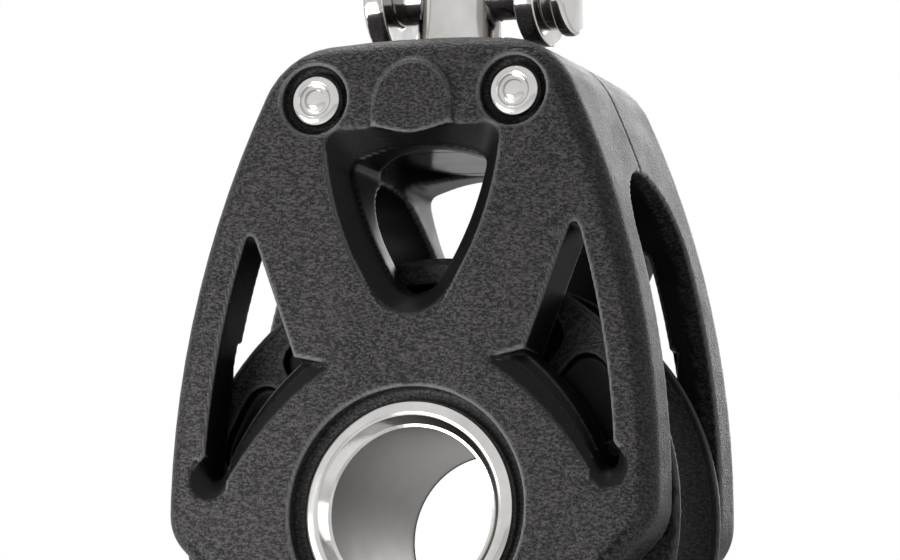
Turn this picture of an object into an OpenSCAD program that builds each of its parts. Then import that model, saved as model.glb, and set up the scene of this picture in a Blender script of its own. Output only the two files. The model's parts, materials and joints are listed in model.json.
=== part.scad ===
// Single sailing block: one sheave on two rows of balls round a hollow core,
// two moulded cheeks, a swivel post in the head and a shackle on its cross pin.
// Origin at the middle of the sheave axis: X to the right, Y along the axis, Z up to the shackle.

/* [Sheave] */
// Radius over the sheave flanges
sheave_r = 30; // [29:0.1:31]
// Width over the sheave flanges
sheave_w = 15.5; // [15:0.1:16.5]
// Diameter of the largest line
line_d = 12; // [10:0.5:12.5]
// Room for the line in the groove, beyond its own radius
line_room = 0.5; // [0.2:0.1:0.7]
// Wall between the groove's floor and the outer race
groove_floor_t = 4.8; // [4.4:0.1:5.2]
// Width of the band at the sheave's rim, outside the pockets
rim_band_w = 3; // [2.4:0.1:3.4]
// Thickness of a flange beside the groove
flange_t = 1.25; // [1:0.05:1.6]
// Width of the smooth lip at the sheave's rim
rim_lip = 0.9; // [0.7:0.05:1.2]
// Set-back of the web from the flange's side
web_set = 0.2; // [0.1:0.05:0.5]
// Depth of the pockets in the web
pocket_d = 1.4; // [0.8:0.1:1.8]
// Rounding of the pockets' outer corners
pocket_r = 2.5; // [1.5:0.1:3]
// Number of pockets on each side of the sheave
pocket_count = 12; // [8:1:16]
// Width of the ribs between the pockets
rib_w = 2; // [1.4:0.1:3]

/* [Bearing] */
// Radius of the hollow core
bore_r = 9.85; // [9.4:0.05:10.2]
// Wall of the core tube
tube_t = 2; // [1.6:0.1:2.2]
// Wall of the inner race
inner_race_t = 2.3; // [2:0.1:2.5]
// Diameter of a ball
ball_d = 3.5; // [3:0.1:3.6]
// Running gap between a ball and each race
ball_gap = 0.05; // [0.03:0.01:0.08]
// Balls in each row
ball_count = 24; // [18:1:25]
// How far each row of balls sits inside the middle of its half of the hub
row_inset = 0.3; // [0.1:0.05:0.4]
// Wall of the outer race
outer_race_t = 1.5; // [1.2:0.1:1.6]
// Thickness of a ball retainer
retainer_t = 1; // [0.8:0.1:1.2]
// Radius of the side washers
washer_r = 18.8; // [18:0.1:19.2]
// Room between the balls and the rib between the two rows
rib_play = 0.35; // [0.2:0.05:0.6]
// Height of the rib between the two rows
race_rib_h = 0.8; // [0.5:0.1:1.2]

/* [Cheek outline] */
// Free gap between the sheave and a cheek
side_gap = 0.85; // [0.6:0.05:1]
// Thickness of a cheek beside the sheave
cheek_t = 6.55; // [6.2:0.05:7.2]
// Half width of the block at the axis
half_w = 29.7; // [29.2:0.1:30.4]
// Radius of the long side curve
side_r = 112; // [104:1:124]
// Height at which the side curve stands upright
foot_z = 0.5; // [0:0.1:1]
// Radius of the bottom corners
foot_r = 6; // [5:0.5:7.5]
// Free height between the sheave and the spring of the arch over the line
throat_gap = 1.4; // [1:0.1:2]
// Floor under the pocket of the head core
floor_t = 3.5; // [3.3:0.1:4.5]
// Roof over the pocket of the head core
roof_t = 3.6; // [3:0.1:4.5]
// Radius of the crowned top
top_r = 140; // [110:5:180]
// Radius of the top corners
corner_r = 9.5; // [8:0.5:11]
// Rounding of the outer edges
edge_r = 2.4; // [1.8:0.1:2.6]
// Draft of the side walls from the parting line to the face
draft = 0.1; // [0:0.05:0.3]
// Chamfer at the parting line
parting = 0.1; // [0.05:0.05:0.3]

/* [Cheek windows] */
// Radius of the hub's face at the foot of the struts
hub_face_r = 19.1; // [18.6:0.1:19.6]
// Width of the side rails
rail_w = 4.75; // [4.2:0.05:5.4]
// Height of the upper end of the side windows
apex_z = 31.8; // [31:0.1:33]
// Height of the lower end of the side windows
heel_z = 4.2; // [3.5:0.1:6]
// Foot of a strut's outer edge, across from the middle
strut_x = 14; // [13.5:0.1:14.5]
// Foot of a strut's outer edge, up from the axis
strut_z = 18; // [17.5:0.1:18.5]
// Depth of the bevel between the hub's face and the side windows
bevel_d = 1.8; // [1.4:0.05:2.6]
// Width of the scoop under a side window
scoop_w = 4.6; // [4:0.1:5]
// Drop of the scoop under a side window
scoop_h = 2.65; // [2.2:0.05:3]
// Depth of the sloping wall of the centre window
funnel_d = 2.55; // [2:0.05:3]
// Half width between the upper corner centres of the centre window
window_w = 8.75; // [8:0.05:9.2]
// Radius of the centre window's lower end
window_r = 5.3; // [4.6:0.1:5.8]
// Radius of the centre window's side curves
window_side_r = 38; // [32:1:50]
// Width of the step cut on the inside of a rail
step_w = 0.9; // [0.4:0.1:1.2]
// Height of the step on the inside of a rail
step_z = 20.7; // [18:0.1:24]
// Radius of the thumb-shaped boss over the post
thumb_r = 5; // [4.4:0.1:5.4]
// Height of the thumb-shaped boss
thumb_h = 0.6; // [0.4:0.1:0.9]
// Half width of the shallow dish under the centre window
dish_w = 7.5; // [7:0.1:7.8]
// Depth of the shallow dish under the centre window
dish_d = 0.35; // [0.2:0.05:0.5]

/* [Hub ring] */
// Overlap of the axle ring on the cheek, beyond the tube
ring_lap = 1.05; // [0.8:0.05:1.3]
// Gap round the axle ring in its recess
ring_gap = 1.3; // [1:0.1:1.5]
// Depth of the recess round the axle ring
recess_d = 2.1; // [1.8:0.1:2.4]
// Distance of the ring's crest below the cheek face
ring_set = 0.6; // [0.4:0.1:0.9]

/* [Rivets] */
// Distance of the rivets from the middle
rivet_x = 12.1; // [11.8:0.1:12.3]
// Radius of a rivet's shank
rivet_r = 2; // [1.6:0.1:2.2]
// Radius of a rivet's head
rivet_head_r = 3.15; // [2.9:0.05:3.4]
// Radius of the recess round a rivet
rivet_well_r = 4; // [3.7:0.1:4.2]
// Depth of the recess round a rivet
rivet_well_d = 1.65; // [1.3:0.05:2]
// Height of a rivet's head
rivet_head_h = 1.55; // [1.2:0.05:1.7]

/* [Head core] */
// Half width of the head core
core_x = 15.2; // [15:0.1:15.4]
// Half depth of the head core
core_y = 9.4; // [9:0.1:10]
// Height of the pocket for the head core
core_h = 7.5; // [7.3:0.1:7.8]
// Gap between the core and its pocket
core_gap = 0.1; // [0.05:0.05:0.2]
// Radius of the collar under the core
collar_r = 8.9; // [8.6:0.1:9.1]
// Depth of the collar below the pocket's floor
collar_d = 1.2; // [0.9:0.1:1.4]
// Depth of the post's seat above the pocket's floor
seat_d = 3.5; // [3.2:0.1:4]
// Thickness of the cover under the post
cover_t = 1.9; // [1.6:0.1:2.1]

/* [Post] */
// Radius of the post
post_r = 5; // [4.8:0.1:5.3]
// Running gap round the post
post_gap = 0.08; // [0.05:0.01:0.1]
// Gap round the post in the cheeks
post_room = 0.45; // [0.3:0.05:0.6]
// Radius of the post's foot
post_foot_r = 6.9; // [6.7:0.1:7]
// Thickness of the post's foot
post_foot_t = 1.7; // [1.5:0.1:1.9]
// Free gap round the foot
foot_gap = 0.4; // [0.3:0.05:0.5]
// Thickness of the thrust washer over the foot
thrust_t = 0.65; // [0.5:0.05:0.8]

/* [Shackle] */
// Height of the cross pin over the top of the head
pin_lift = 7.4; // [7.2:0.1:8.5]
// Radius of the cross pin
pin_r = 3.2; // [2.8:0.1:3.5]
// Running gap round the cross pin
pin_gap = 0.08; // [0.05:0.01:0.1]
// Radius of the shackle's ears
ear_r = 6.6; // [6:0.1:6.8]
// Thickness of the ears
ear_t = 2.5; // [2.2:0.1:3]
// Distance between the ears
ear_gap = 15.9; // [14:0.1:18]
// Sideways rest of the shackle on its pin
shackle_x = 0.6; // [0:0.1:1]
// Radius of the shackle's bar
bar_r = 2.8; // [2.4:0.1:3.1]
// Height of the bow's centre over the pin
bow_h = 15; // [13:0.5:20]
// Length of the pin head's barrel
barrel_h = 1.5; // [1.2:0.1:2]
// Radius of the pin head's barrel
barrel_r = 4.6; // [4.2:0.1:5]
// Thickness of the pin's knob
knob_h = 1.7; // [1.4:0.1:2.2]
// Radius of the pin's knob
knob_r = 5.5; // [5.2:0.1:6]

/* [Hidden] */
$fn = 64;
eps = 0.6;                                    // overrun of a cut past the face it opens
fit = 0.05;                                   // gap of parts that are pressed or clamped

slot_y = sheave_w / 2 + side_gap;             // inside of a cheek
face_y = slot_y + cheek_t;                    // outside of a cheek
arch_z = sheave_r + throat_gap;               // spring of the arch over the line
arch_top = arch_z + slot_y;
floor_z = arch_top + floor_t;                 // floor of the core's pocket
roof_z = floor_z + core_h;
top_z = roof_z + roof_t;

tube_r = bore_r + tube_t;
inner_race_r = tube_r + fit + inner_race_t;
ball_r = ball_d / 2;
pitch_r = inner_race_r + ball_gap + ball_r;
outer_race_in = pitch_r + ball_r + ball_gap;
outer_race_r = outer_race_in + outer_race_t;
hub_y = sheave_w / 2 - 0.55;                  // half width of the sheave's hub
row_y = hub_y / 2 - row_inset;                // middle of a row of balls
race_rib = row_y - ball_r - rib_play;         // half width of the rib between the rows
retainer_y = row_y + ball_r + 0.3;            // inner side of a retainer
groove_r = line_d / 2 + line_room;            // depth of the groove under its centre line
groove_w = sheave_w / 2 - flange_t;           // half width of the groove at its centre line
groove_z = outer_race_r + groove_floor_t + groove_r;
rim_band_r = sheave_r - rim_band_w;
web_y = sheave_w / 2 - web_set;

ring_r = tube_r + ring_lap;
recess_r = ring_r + ring_gap;
recess_y = face_y - recess_d;
crest_y = face_y - ring_set;

rivet_z = floor_z + 4.15;
rivet_y = face_y - rivet_well_d;              // seat of a rivet's head

post_hole_r = post_r + post_gap;
seat_z = floor_z + seat_d;                    // shoulder over the thrust washer
seat_r = post_foot_r + foot_gap;
collar_z = floor_z - collar_d;
foot_top = seat_z - fit - thrust_t - 2 * fit;
pin_z = top_z + pin_lift;

foot_c = [half_w - foot_r, foot_z];
side_c = [half_w - side_r, foot_z];
top_c = [0, top_z - top_r];
bottom_r = (foot_c[0] - foot_c[1]) * cos(45) + foot_r;
corner_c = meet(side_c, side_r - corner_r, top_c, top_r - corner_r);
rail_r = side_r - rail_w;                     // curve of a side window along its rail

// Plane helpers

// Points on an arc, both ends included
function arc(c, r, a0, a1, n) =
    [for (i = [0:n]) let (a = a0 + (a1 - a0) * i / n) c + r * [cos(a), sin(a)]];

// Direction from one point to another, in degrees
function bearing(p, q) = atan2(q[1] - p[1], q[0] - p[0]);

// Crossing of two circles, on the left of the line from the first centre to the second
function meet(c0, r0, c1, r1) =
    let (d = norm(c1 - c0), a = (d * d + r0 * r0 - r1 * r1) / (2 * d))
    let (u = (c1 - c0) / d, h = sqrt(r0 * r0 - a * a))
    c0 + a * u + h * [-u[1], u[0]];

// The right half of an outline, closed with its mirror image
function both(half) = concat(half, [for (i = [len(half) - 1:-1:0]) [-half[i][0], half[i][1]]]);

// A flat ring of points set at one place along Y
function at_y(ring, y) = [for (p = ring) [p[0], y, p[1]]];

// A closed solid through rings of equal length, from the front to the back
module loft(rings) {
    n = len(rings[0]);
    m = len(rings);
    sides = [for (j = [0:m - 2], i = [0:n - 1])
        [j * n + i, j * n + (i + 1) % n, (j + 1) * n + (i + 1) % n, (j + 1) * n + i]];
    front = [for (i = [n - 1:-1:0]) i];
    back = [for (i = [0:n - 1]) (m - 1) * n + i];
    polyhedron(points = [for (r = rings) each r], faces = concat(sides, [front, back]), convexity = 8);
}

// A round bar or hole along Y between two places
module along_y(r, y0, y1) {
    translate([0, y0, 0])
        rotate([-90, 0, 0])
            cylinder(r = r, h = y1 - y0);
}

// A round bar or hole along X between two places
module along_x(r, x0, x1) {
    translate([x0, 0, 0])
        rotate([0, 90, 0])
            cylinder(r = r, h = x1 - x0);
}

// A solid turned round the Y axis from a profile of [radius, y] points
module turned(profile) {
    rotate([90, 0, 0])
        rotate_extrude()
            polygon([for (p = profile) [p[0], -p[1]]]);
}

// Cheeks

// Outline of the block, set in from the parting line's outline
function block_outline(inset) = both(concat(
    arc([0, 0], bottom_r - inset, -90, -45, 8),
    arc(foot_c, foot_r - inset, -45, 0, 5),
    arc(side_c, side_r - inset, 1, bearing(side_c, corner_c), 12),
    arc(corner_c, corner_r - inset, bearing(side_c, corner_c) + 6, bearing(top_c, corner_c), 5),
    arc(top_c, top_r - inset, bearing(top_c, corner_c) + 2, 89, 4)
));

// How far the wall of a cheek is set in at one place along its depth
function wall_inset(y) = draft * y / face_y;

// One half of the block before it is cut, from its face to the parting line
module cheek_blank() {
    edge = [for (a = [0:15:90])
        let (y = face_y - edge_r * (1 - cos(a)))
        at_y(block_outline(edge_r * (1 - sin(a)) + wall_inset(y)), -y)];
    loft(concat(edge, [
        at_y(block_outline(wall_inset(parting)), -parting),
        at_y(block_outline(parting), 0)
    ]));
}

// Outline of the boss over the post, with a round upper end
function thumb_ring(inset, y) =
    let (r = thumb_r - inset)
    at_y(both(concat([[r, arch_top + 1]], arc([0, arch_top + 6.9], r, 0, 84, 7))), y);

// A low boss with a crisp edge, over the post
module thumb() {
    loft([
        thumb_ring(0.6, -face_y - thumb_h),
        thumb_ring(0.2, -face_y - thumb_h * 0.8),
        thumb_ring(0, -face_y - thumb_h * 0.3),
        thumb_ring(0, -face_y + 0.4)
    ]);
}

// Edge of a side window at one depth: along the hub, round the foot, up the rail and down the strut.
// The slide takes its corner at the hub from the tip of the wedge to the foot of the strut.
function side_window(slide, foot, size, y) =
    let (wedge = hub_face_r * [cos(62.4), sin(62.4)], strut = [strut_x, strut_z])
    let (tip = wedge + slide * (strut - wedge), tip_a = bearing([0, 0], tip))
    let (heel = foot + [size[0] * cos(-135), size[1] * sin(-135)], heel_a = bearing([0, 0], heel))
    let (apex = [rail_x(apex_z) - 0.6, apex_z])
    at_y(concat(
        [for (i = [0:8]) let (t = i / 9, a = tip_a + (heel_a - tip_a) * t)
            (norm(tip) + (norm(heel) - norm(tip)) * pow(t, 2.6)) * [cos(a), sin(a)]],
        [for (a = [-135:30:15]) foot + [size[0] * cos(a), size[1] * sin(a)]],
        arc(side_c, rail_r, rail_angle(heel_z + 2.8), rail_angle(apex_z - 0.6), 7),
        arc(apex, 0.5, 20, 160, 2),
        [strut, (strut + tip) / 2]
    ), y);

// Where the rail's inner curve runs at one height
function rail_angle(z) = asin((z - side_c[1]) / rail_r);
function rail_x(z) = side_c[0] + rail_r * cos(rail_angle(z));

// Cutter for the window between the strut, the hub and the rail
module side_window_cut() {
    scoop = [rail_x(heel_z) - 0.55, heel_z];
    scoop_size = [scoop_w / 2, scoop_h];
    hole_size = [0.95, 1.1];
    hole = [rail_x(heel_z + 1.1) - hole_size[0] - 0.05, heel_z + hole_size[1]];
    loft([
        side_window(0, scoop, scoop_size, -face_y - eps),
        side_window(0, scoop, scoop_size, -face_y),
        side_window(0.55, (scoop * 2 + hole * 3) / 5, (scoop_size * 2 + hole_size * 3) / 5,
            -face_y + bevel_d * 0.5),
        side_window(0.86, hole, hole_size, -face_y + bevel_d),
        side_window(0.93, hole + [0, 0.3], hole_size, -slot_y + eps)
    ]);
}

// Cutter for the shallow dish between the hub's recess and the centre window
module dish_cut() {
    loft([for (p = [[1, -eps], [1, 0], [0.75, dish_d * 0.44], [0.45, dish_d * 0.8], [0.15, dish_d]])
        at_y(both([[dish_w * p[0], recess_r - 3], [dish_w * p[0], arch_z + 1]]), -face_y + p[1])]);
}

// Edge of the centre window at one depth
function centre_window(low_c, low_r, top_corner, top_corner_r, dip, rise, y) =
    let (c = meet(low_c, window_side_r - low_r, top_corner, window_side_r - top_corner_r))
    let (a0 = bearing(c, low_c), a1 = bearing(c, top_corner), z = top_corner[1] + top_corner_r)
    at_y(both(concat(
        arc(low_c, low_r, -84, a0, 8),
        arc(c, window_side_r, a0 + 2, a1, 13),
        arc(top_corner, top_corner_r, a1 + 10, 90, 7),
        [for (i = [11:-1:1]) let (t = (i - 0.5) / 11.5)
            [top_corner[0] * t, z - dip * (1 + cos(180 * min(1, t * 1.5))) / 2 + rise * (1 - t * t)]]
    )), y);

// Cutter for the centre window and the passage behind it, up to the parting line
module centre_window_cut() {
    outer_low = [0, hub_face_r + 2.9 + window_r];
    outer_top = [window_w, arch_top + 2.2];
    inner_low = outer_low + [0, 1.1];
    inner_top = outer_top - [1.6, 2.4];
    loft([
        centre_window(outer_low, window_r, outer_top, 2, 1, 0, -face_y - thumb_h - eps),
        centre_window(outer_low, window_r, outer_top, 2, 1, 0, -face_y),
        centre_window(inner_low, window_r - 2.1, inner_top, 1, 0, 1.4, -face_y + funnel_d),
        centre_window(inner_low, window_r - 2.1, inner_top, 1, 0, 1.4, eps)
    ]);
}

// Room for the sheave and the line, with the arch over them
module line_slot() {
    translate([-half_w - 2, -slot_y, -sheave_r - 5])
        cube([2 * half_w + 4, 2 * slot_y, arch_z + sheave_r + 5]);
    translate([0, 0, arch_z])
        along_x(slot_y, -half_w - 2, half_w + 2);
}

// Pocket for the head core, its collar and the post
module head_pocket() {
    translate([-core_x - core_gap, -core_y - core_gap, floor_z])
        cube([2 * (core_x + core_gap), 2 * (core_y + core_gap), core_h]);
    translate([0, 0, arch_top - 1])
        cylinder(r = collar_r + core_gap, h = floor_t + 2);
    cylinder(r = post_r + post_room, h = top_z + 1);
}

module cheek() {
    difference() {
        union() {
            cheek_blank();
            thumb();
        }
        line_slot();
        centre_window_cut();
        dish_cut();
        for (s = [0, 1])
            mirror([s, 0, 0]) {
                side_window_cut();
                translate([rail_x(step_z) - 1.4, -slot_y - 1, heel_z + 3])
                    cube([step_w + 1.4, 2, step_z - heel_z - 3]);
                translate([rivet_x, 0, rivet_z])
                    along_y(rivet_r + fit, -face_y - 1, 1);
                translate([rivet_x, 0, rivet_z])
                    along_y(rivet_well_r, -face_y - 1, -rivet_y);
            }
        along_y(tube_r + fit, -face_y - 1, 0);
        along_y(recess_r, -face_y - 1, -recess_y);
        head_pocket();
    }
}

module front_cheek() {
    color("#3c3c3c")
        cheek();
}

module rear_cheek() {
    color("#3c3c3c")
        rotate([0, 0, 180])
            cheek();
}

// Head core and post

module head_core() {
    color("#161616")
        difference() {
            union() {
                translate([-core_x, -core_y, floor_z])
                    cube([2 * core_x, 2 * core_y, core_h - core_gap]);
                translate([0, 0, collar_z])
                    cylinder(r = collar_r, h = collar_d + 1);
            }
            translate([0, 0, collar_z - 1])
                cylinder(r = seat_r, h = seat_z - collar_z + 1);
            cylinder(r = post_hole_r, h = roof_z + 1);
            for (s = [-1, 1])
                translate([s * rivet_x, 0, rivet_z])
                    along_y(rivet_r + fit, -core_y - 1, core_y + 1);
        }
}

module post_foot_cover() {
    color("#1c1c1c")
        translate([0, 0, collar_z])
            cylinder(r = seat_r - fit, h = cover_t);
}

// Post with its foot in the head and its eye on the cross pin
module head_post() {
    eye_z = pin_z + 1.2;
    color("#c9c8c5")
        difference() {
            rotate_extrude()
                polygon(concat(
                    [[0, foot_top - post_foot_t], [post_foot_r, foot_top - post_foot_t],
                     [post_foot_r, foot_top], [post_r, foot_top]],
                    arc([0, eye_z], post_r, 0, 90, 8)
                ));
            translate([0, 0, pin_z])
                along_x(pin_r + pin_gap, -post_r - 1, post_r + 1);
        }
}

module post_thrust_washer() {
    color("#d8d4c8")
        translate([0, 0, seat_z - fit - thrust_t])
            difference() {
                cylinder(r = seat_r - 2 * fit, h = thrust_t);
                translate([0, 0, -1])
                    cylinder(r = post_r + 3 * fit, h = thrust_t + 2);
            }
}

// Rivets, one piece each, with a dimpled head at both ends
module rivet() {
    end_y = rivet_y + rivet_head_h;
    half = [
        [rivet_r, 0], [rivet_r, rivet_y], [rivet_head_r, rivet_y], [rivet_head_r, end_y - 0.45],
        [rivet_head_r - 0.15, end_y - 0.12], [rivet_head_r - 0.5, end_y],
        [rivet_head_r * 0.45, end_y - 0.05], [rivet_head_r * 0.3, end_y - 0.35],
        [rivet_head_r * 0.12, end_y - 0.45], [0, end_y - 0.2],
    ];
    rear = [for (i = [len(half) - 1:-1:1]) [half[i][0], -half[i][1]]];
    color("#d5d5d3")
        turned(concat(rear, half));
}

module left_rivet() {
    translate([-rivet_x, 0, rivet_z])
        rivet();
}

module right_rivet() {
    translate([rivet_x, 0, rivet_z])
        rivet();
}

// Hollow axle

module axle_tube() {
    color("#8f8a86")
        difference() {
            along_y(tube_r, -recess_y, recess_y);
            along_y(bore_r, -recess_y - 1, recess_y + 1);
        }
}

// Polished ring with a rolled lip, against the tube's end and the cheek's recess
module axle_ring() {
    lip = 1.1;
    chamfer = 0.75;
    step = 0.1;
    color("#e2e2e0")
        turned(concat(
            [[bore_r + step, recess_y], [ring_r, recess_y]],
            arc([ring_r - lip, crest_y - lip - 0.1], lip, 0, 60, 4),
            [[bore_r + step + chamfer + 0.5, crest_y], [bore_r + step + chamfer, crest_y - 0.05],
             [bore_r + step, crest_y - chamfer]]
        ));
}

module front_axle_ring() {
    rotate([0, 0, 180])
        axle_ring();
}

module rear_axle_ring() {
    axle_ring();
}

// Bearing

module inner_race() {
    color("#b9b7b2")
        difference() {
            union() {
                along_y(inner_race_r, -slot_y, slot_y);
                along_y(inner_race_r + race_rib_h, -race_rib, race_rib);
            }
            along_y(tube_r + fit, -slot_y - 1, slot_y + 1);
        }
}

module outer_race() {
    race_y = hub_y - 0.2;
    color("#b9b7b2")
        difference() {
            along_y(outer_race_r, -race_y, race_y);
            along_y(outer_race_in, -race_y - 1, race_y + 1);
        }
}

// One row of separate balls
module balls(y) {
    color("#efece4")
        for (i = [0:ball_count - 1])
            rotate([0, 360 / ball_count * (i + 0.5), 0])
                translate([0, y, pitch_r])
                    sphere(r = ball_r, $fn = 32);
}

module front_balls() {
    balls(-row_y);
}

module rear_balls() {
    balls(row_y);
}

// Ring that keeps a row of balls in the outer race
module ball_retainer() {
    color("#262626")
        difference() {
            along_y(outer_race_in - fit, retainer_y, retainer_y + retainer_t);
            along_y(inner_race_r + 0.55, retainer_y - 1, retainer_y + retainer_t + 1);
        }
}

module front_ball_retainer() {
    rotate([0, 0, 180])
        ball_retainer();
}

module rear_ball_retainer() {
    ball_retainer();
}

// Thrust washer between the sheave's hub and a cheek
module side_washer() {
    color("#d8d4c8")
        difference() {
            along_y(washer_r, hub_y + 0.15, slot_y);
            along_y(inner_race_r + 0.2, hub_y - 1, slot_y + 1);
        }
}

module front_side_washer() {
    rotate([0, 0, 180])
        side_washer();
}

module rear_side_washer() {
    side_washer();
}

// Sheave

// Half outline of a web pocket about the X axis, straight along the rib and round at its outer corner
function pocket_half(inner, outer) =
    let (rib_a = 180 / pocket_count, soft = min(pocket_r, (outer - inner) / 2.2))
    let (inner_a = rib_a - asin(rib_w / 2 / inner))
    let (soft_a = rib_a - asin((rib_w / 2 + soft) / (outer - soft)))
    concat(
        [inner * [cos(inner_a), sin(inner_a)]],
        arc((outer - soft) * [cos(soft_a), sin(soft_a)], soft, rib_a + 90, soft_a, 4),
        [outer * [cos(soft_a / 2), sin(soft_a / 2)]]
    );

// Shallow pockets in the web of one side, with ribs between them
module web_pockets() {
    inner = outer_race_r + 2;
    half = pocket_half(inner, rim_band_r);
    rim = [for (i = [len(half) - 1:-1:0]) [half[i][0], -half[i][1]]];
    for (i = [0:pocket_count - 1])
        rotate([0, 360 / pocket_count * (i + 0.12) - 90, 0])
            translate([0, web_y - pocket_d, 0])
                rotate([-90, 0, 0])
                    linear_extrude(height = pocket_d + 2)
                        polygon(concat(half, rim, [[inner, 0]]));
}

module sheave() {
    rim_y = sheave_w / 2;
    lip = 0.5;
    mouth_a = acos((groove_z - sheave_r) / groove_r);
    half = concat(
        [[outer_race_r + fit, hub_y], [outer_race_r + 1.2, hub_y], [outer_race_r + 1.5, web_y],
         [sheave_r - rim_lip - 0.2, web_y], [sheave_r - rim_lip, rim_y]],
        arc([sheave_r - lip, rim_y - lip], lip, 90, 0, 3),
        [for (i = [14:-1:1]) let (a = mouth_a * i / 14) [groove_z - groove_r * cos(a), groove_w * sin(a)]]
    );
    rear = [for (i = [len(half) - 1:-1:0]) [half[i][0], -half[i][1]]];
    color("#242424")
        difference() {
            turned(concat(half, [[groove_z - groove_r, 0]], rear));
            web_pockets();
            rotate([0, 0, 180])
                web_pockets();
        }
}

// Shackle

// One leg: a flat ear beside the pin that draws into the round bar over the knob
module shackle_leg() {
    bar_x = ear_gap / 2 + ear_t / 2;
    flat_z = knob_r + 0.4;
    flat_w = 2 * ear_r * 0.72;
    neck_z = flat_z + 5;
    hull() {
        along_x(ear_r, ear_gap / 2, ear_gap / 2 + ear_t, $fn = 48);
        translate([ear_gap / 2, -flat_w / 2, flat_z - 0.5])
            cube([ear_t, flat_w, 0.5]);
    }
    hull() {
        translate([ear_gap / 2, -flat_w / 2, flat_z - 0.5])
            cube([ear_t, flat_w, 0.5]);
        translate([bar_x, 0, neck_z])
            cylinder(r = bar_r, h = 0.5, $fn = 32);
    }
    translate([bar_x, 0, neck_z])
        cylinder(r = bar_r, h = bow_h - neck_z);
}

module shackle_bow() {
    bar_x = ear_gap / 2 + ear_t / 2;
    color("#c9c8c5")
        translate([shackle_x, 0, pin_z])
            difference() {
                union() {
                    shackle_leg();
                    mirror([1, 0, 0])
                        shackle_leg();
                    translate([0, 0, bow_h])
                        rotate([90, 0, 0])
                            rotate_extrude(angle = 180)
                                translate([bar_x, 0])
                                    circle(r = bar_r);
                }
                along_x(pin_r + pin_gap, -ear_gap, ear_gap);
            }
}

// Cross pin with its barrel and slotted knob on the right
module shackle_pin() {
    out_x = ear_gap / 2 + ear_t;
    end_x = out_x + barrel_h + knob_h;
    soft = 0.8;
    color("#b5b4b1")
        translate([shackle_x, 0, pin_z])
            difference() {
                rotate([0, 90, 0])
                    rotate_extrude()
                        polygon(concat(
                            [[0, -out_x - 0.4], [pin_r - 0.4, -out_x - 0.4], [pin_r, -out_x],
                             [pin_r, out_x], [barrel_r, out_x], [barrel_r, out_x + barrel_h],
                             [knob_r - 0.4, out_x + barrel_h], [knob_r, out_x + barrel_h + 0.4]],
                            arc([knob_r - soft, end_x - soft], soft, 0, 75, 4),
                            [[0, end_x + 0.3]]
                        ));
                translate([end_x - 1, -0.7, -knob_r - 1])
                    cube([3, 1.4, 2 * knob_r + 2]);
            }
}

front_cheek();
rear_cheek();
head_core();
post_foot_cover();
left_rivet();
right_rivet();
axle_tube();
front_axle_ring();
rear_axle_ring();
inner_race();
outer_race();
sheave();
front_balls();
rear_balls();
front_ball_retainer();
rear_ball_retainer();
front_side_washer();
rear_side_washer();
head_post();
post_thrust_washer();
shackle_bow();
shackle_pin();
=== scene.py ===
"""Looks of a single sailing block: moulded cheeks, hollow core, sheave, swivel post and shackle."""

import json
import logging
import math
from dataclasses import dataclass, field
from enum import Enum

import bmesh
import bpy
from mathutils import Matrix, Vector

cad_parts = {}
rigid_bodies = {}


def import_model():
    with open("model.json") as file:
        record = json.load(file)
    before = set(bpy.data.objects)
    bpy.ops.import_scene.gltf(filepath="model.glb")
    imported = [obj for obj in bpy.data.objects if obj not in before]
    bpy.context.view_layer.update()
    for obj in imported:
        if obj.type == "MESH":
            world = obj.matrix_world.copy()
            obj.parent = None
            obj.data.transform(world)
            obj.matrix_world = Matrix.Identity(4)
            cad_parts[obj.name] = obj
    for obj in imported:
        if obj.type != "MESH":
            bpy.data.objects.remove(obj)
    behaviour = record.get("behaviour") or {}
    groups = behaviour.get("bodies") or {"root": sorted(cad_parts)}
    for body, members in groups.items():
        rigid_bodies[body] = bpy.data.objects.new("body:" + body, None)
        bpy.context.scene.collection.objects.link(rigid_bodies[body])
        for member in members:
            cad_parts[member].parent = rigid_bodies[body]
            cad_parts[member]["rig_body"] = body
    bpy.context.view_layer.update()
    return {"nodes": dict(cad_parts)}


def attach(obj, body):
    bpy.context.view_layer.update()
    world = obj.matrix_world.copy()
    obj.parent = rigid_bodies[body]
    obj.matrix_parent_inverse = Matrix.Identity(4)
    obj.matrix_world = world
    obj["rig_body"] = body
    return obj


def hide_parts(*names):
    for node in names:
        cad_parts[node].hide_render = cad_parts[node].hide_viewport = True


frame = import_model()

LOG = logging.getLogger("sailing_block")
MM = 0.001
FULL_TURN = 2 * math.pi

# Places that two sub-assemblies share, in mm
RIVET_X = 12.1
RIVET_Z = 47.65
PIN_Z = 62.0


class Side(Enum):
    """Which side of the block a piece is on, as the sign of its place along Y."""

    FRONT = -1
    REAR = 1


def clamp(value: float) -> float:
    """Keeps a value between 0 and 1."""
    return min(1.0, max(0.0, value))


def joined(owner: bpy.types.Material | bpy.types.World, operation: str, first: bpy.types.NodeSocket,
           second: bpy.types.NodeSocket | float) -> bpy.types.NodeSocket:
    """Joins two values among the nodes of a material or a world.

    Args:
        owner: The material or the world.
        operation: ADD, MULTIPLY or MAXIMUM.
        first: The first value.
        second: The second value, or a number.

    Returns:
        The socket with the result.
    """
    result = owner.node_tree.nodes.new("ShaderNodeMath")
    result.operation = operation
    owner.node_tree.links.new(first, result.inputs[0])
    if isinstance(second, float):
        result.inputs[1].default_value = second
    else:
        owner.node_tree.links.new(second, result.inputs[1])
    return result.outputs["Value"]


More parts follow.
